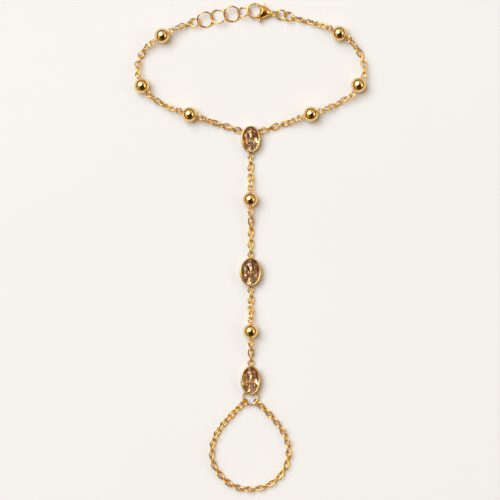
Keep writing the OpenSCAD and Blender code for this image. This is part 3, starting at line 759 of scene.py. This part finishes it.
def make_clasp_body():
    body = plain_object("bulb", clasp_bulb())
    slot_z = LEVER_T / 2 + LEVER_GAP
    for name, part in (
        ("jaw", flared_hole(JAW_R, JAW_FLARE)),
        ("mouth", box_part(*MOUTH, -3, 3)),
        ("slot", box_part(*LEVER_SLOT, -slot_z, slot_z)),
        ("hole", moved(cylinder(PIVOT_D / 2 + LEVER_GAP, -3, 3, 32), shift(*PIVOT))),
    ):
        combine(body, "DIFFERENCE", plain_object(name, part))
    hook_section = round_section(HOOK_MID_R, HOOK_W, HOOK_T, HOOK_POWER)
    hook = plain_object("hook", arc_band(HOOK_START, LEVER_START, hook_section))
    lever_sweep = moved(cylinder(LEVER_REACH + LEVER_GAP, -2, 2), shift(*PIVOT))
    combine(hook, "DIFFERENCE", plain_object("sweep", lever_sweep))
    tail_ring = ring((TAIL_OD - TAIL_WIRE) / 2, TAIL_WIRE)
    tail = plain_object("tail", moved(tail_ring, shift(CLASP_LEN, 0) @ turn_x(TAIL_ROLL)))
    fin = plain_object("fin", ridge(FIN))
    rib = plain_object("rib", ridge(RIB))
    others = (hook, tail, fin, rib)
    set_part(body, join_parts([part_of(body)] + [part_of(other) for other in others]))
    for other in others:
        bpy.data.objects.remove(other)
    smooth_cast(body, voxel=0.05, rounds=3)
    return into_place(body, "gold_clasp_body", CLASP_GOLD, "jewel", "clasp_body")


def lever_bar(a, b, steps=6):
    """Straight piece of the lever between two places in its plane."""
    a, b = Vector((*a, 0)), Vector((*b, 0))
    along = (b - a).normalized()
    across = Vector((-along.y, along.x, 0))
    section = round_section(0, LEVER_W, LEVER_T, LEVER_POWER)
    points = []
    for i in range(steps + 1):
        middle = a.lerp(b, i / steps)
        for out, z in section:
            points.append(tuple(middle + out * across + Vector((0, 0, z))))
    return points, capped_faces(steps + 1, len(section))


def make_clasp_lever():
    arm_section = round_section(HOOK_MID_R, LEVER_W, LEVER_T, LEVER_POWER)
    arm = plain_object("arm", arc_band(LEVER_START, LEVER_END, arm_section, 32))
    reach = moved(cylinder(LEVER_REACH, -2, 2, 192), shift(*PIVOT))
    combine(arm, "INTERSECT", plain_object("reach", reach))
    end = math.radians(LEVER_END)
    arm_end = (HOOK_MID_R * math.cos(end), HOOK_MID_R * math.sin(end))
    hub = cylinder(LEVER_HUB_D / 2, -LEVER_T / 2, LEVER_T / 2, 40)
    pin = cylinder(PIVOT_D / 2, -PIVOT_PIN_L / 2, PIVOT_PIN_L / 2, 40)
    parts = [
        part_of(arm),
        lever_bar(arm_end, PIVOT),
        lever_bar(PIVOT, KNOB),
        moved(hub, shift(*PIVOT)),
        moved(pin, shift(*PIVOT)),
        moved(knob_part(), shift(*KNOB)),
    ]
    set_part(arm, join_parts(parts))
    smooth_cast(arm, voxel=0.04, rounds=2)
    return into_place(arm, "gold_clasp_lever", CLASP_GOLD, "lever", "clasp_lever")


def knob_part():
    """Ball made of level rounds."""
    rows = 33
    levels = []
    for i in range(rows):
        turn = math.pi * (i + 0.5) / rows
        r = KNOB_D / 2 * math.sin(turn)
        levels.append((KNOB_D / 2 * math.cos(turn), r, r))
    return oval_loft(levels, 40)


for cad_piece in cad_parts.values():
    for slot_place in cad_piece.material_slots:
        slot_place.material = CHAIN_GOLD

for setting_name in SETTINGS:
    make_setting(setting_name)
    make_stone(setting_name)
for bead_name in BEADS:
    make_bead(bead_name)
make_clasp_body()
make_clasp_lever()

# From here on sizes are in metres
FLOOR_SIDE = 6
SOFTBOX_TURN = math.radians(140)
SOFTBOX_TILT = math.radians(31)
SOFTBOX_AWAY = 3.0
SOFTBOX_SIDE = 2.37
SOFTBOX_POWER = 95.5
SOFTBOX_COLOR = (0.835, 0.915, 1.0)
CARD_PLACE = (2.4, -0.2, 1.75)
CARD_SIZE = (1.5, 1.3)
CARD_POWER = 6.7
CARD_COLOR = (1.0, 0.95, 0.88)

bpy.ops.mesh.primitive_plane_add(size=FLOOR_SIDE)
floor = bpy.context.object
floor.name = "floor"
floor.data.materials.append(floor_material())


def area_light(name, place, size, power, color):
    """Rectangular light aimed at the origin, which the camera does not see."""
    data = bpy.data.lights.new(name, "AREA")
    data.shape = "RECTANGLE"
    data.size, data.size_y = size
    data.energy = power
    data.color = color
    item = bpy.data.objects.new(name, data)
    bpy.context.scene.collection.objects.link(item)
    item.location = place
    item.rotation_euler = (-Vector(place)).to_track_quat("-Z", "Y").to_euler()
    item.visible_camera = False
    return item


softbox_place = (
    SOFTBOX_AWAY * math.sin(SOFTBOX_TILT) * math.cos(SOFTBOX_TURN),
    SOFTBOX_AWAY * math.sin(SOFTBOX_TILT) * math.sin(SOFTBOX_TURN),
    SOFTBOX_AWAY * math.cos(SOFTBOX_TILT),
)
area_light("softbox", softbox_place, (SOFTBOX_SIDE, SOFTBOX_SIDE), SOFTBOX_POWER, SOFTBOX_COLOR)
area_light("side_card", CARD_PLACE, CARD_SIZE, CARD_POWER, CARD_COLOR)


def make_world():
    """A warm room, dark near the horizon and in a patch high above the finger loop."""
    world = bpy.data.worlds.new("studio")
    bpy.context.scene.world = world
    world.use_nodes = True
    nodes, links = world.node_tree.nodes, world.node_tree.links
    place = add_node(nodes, "ShaderNodeTexCoord")
    split = add_node(nodes, "ShaderNodeSeparateXYZ")
    room = add_ramp(nodes, ROOM_TONES)
    toward = add_node(nodes, "ShaderNodeVectorMath", operation="DOT_PRODUCT")
    toward.inputs[1].default_value = DARK_TOWARD
    near = add_node(nodes, "ShaderNodeMapRange", interpolation_type="SMOOTHSTEP")
    near.inputs["From Min"].default_value = DARK_BEGINS
    near.inputs["From Max"].default_value = DARK_FULL
    mix = add_node(nodes, "ShaderNodeMix", data_type="RGBA")
    mix.inputs[7].default_value = DARK_COLOR
    links.new(place.outputs["Generated"], split.inputs["Vector"])
    links.new(split.outputs["Z"], room.inputs["Fac"])
    links.new(place.outputs["Generated"], toward.inputs[0])
    links.new(toward.outputs["Value"], near.inputs["Value"])
    links.new(near.outputs["Result"], mix.inputs[0])
    links.new(room.outputs["Color"], mix.inputs[6])
    links.new(mix.outputs[2], nodes["Background"].inputs["Color"])
    nodes["Background"].inputs["Strength"].default_value = ROOM_STRENGTH


make_world()

# The picture, seen from straight above, is PICTURE_W wide at the height PICTURE_Z
PICTURE_W = 0.15
PICTURE_X = -0.00015
PICTURE_Y = -0.00075
PICTURE_Z = 0.0012
SENSOR_W = 36
LENS = 192

camera_data = bpy.data.cameras.new("camera")
camera = bpy.data.objects.new("camera", camera_data)
bpy.context.scene.collection.objects.link(camera)
camera_data.sensor_width = SENSOR_W
camera_data.lens = LENS
camera_data.clip_end = 20
camera.location = (PICTURE_X, PICTURE_Y, PICTURE_W * LENS / SENSOR_W + PICTURE_Z)
camera.rotation_euler = (0, 0, 0)
bpy.context.scene.camera = camera
bpy.context.scene.view_settings.view_transform = "Standard"
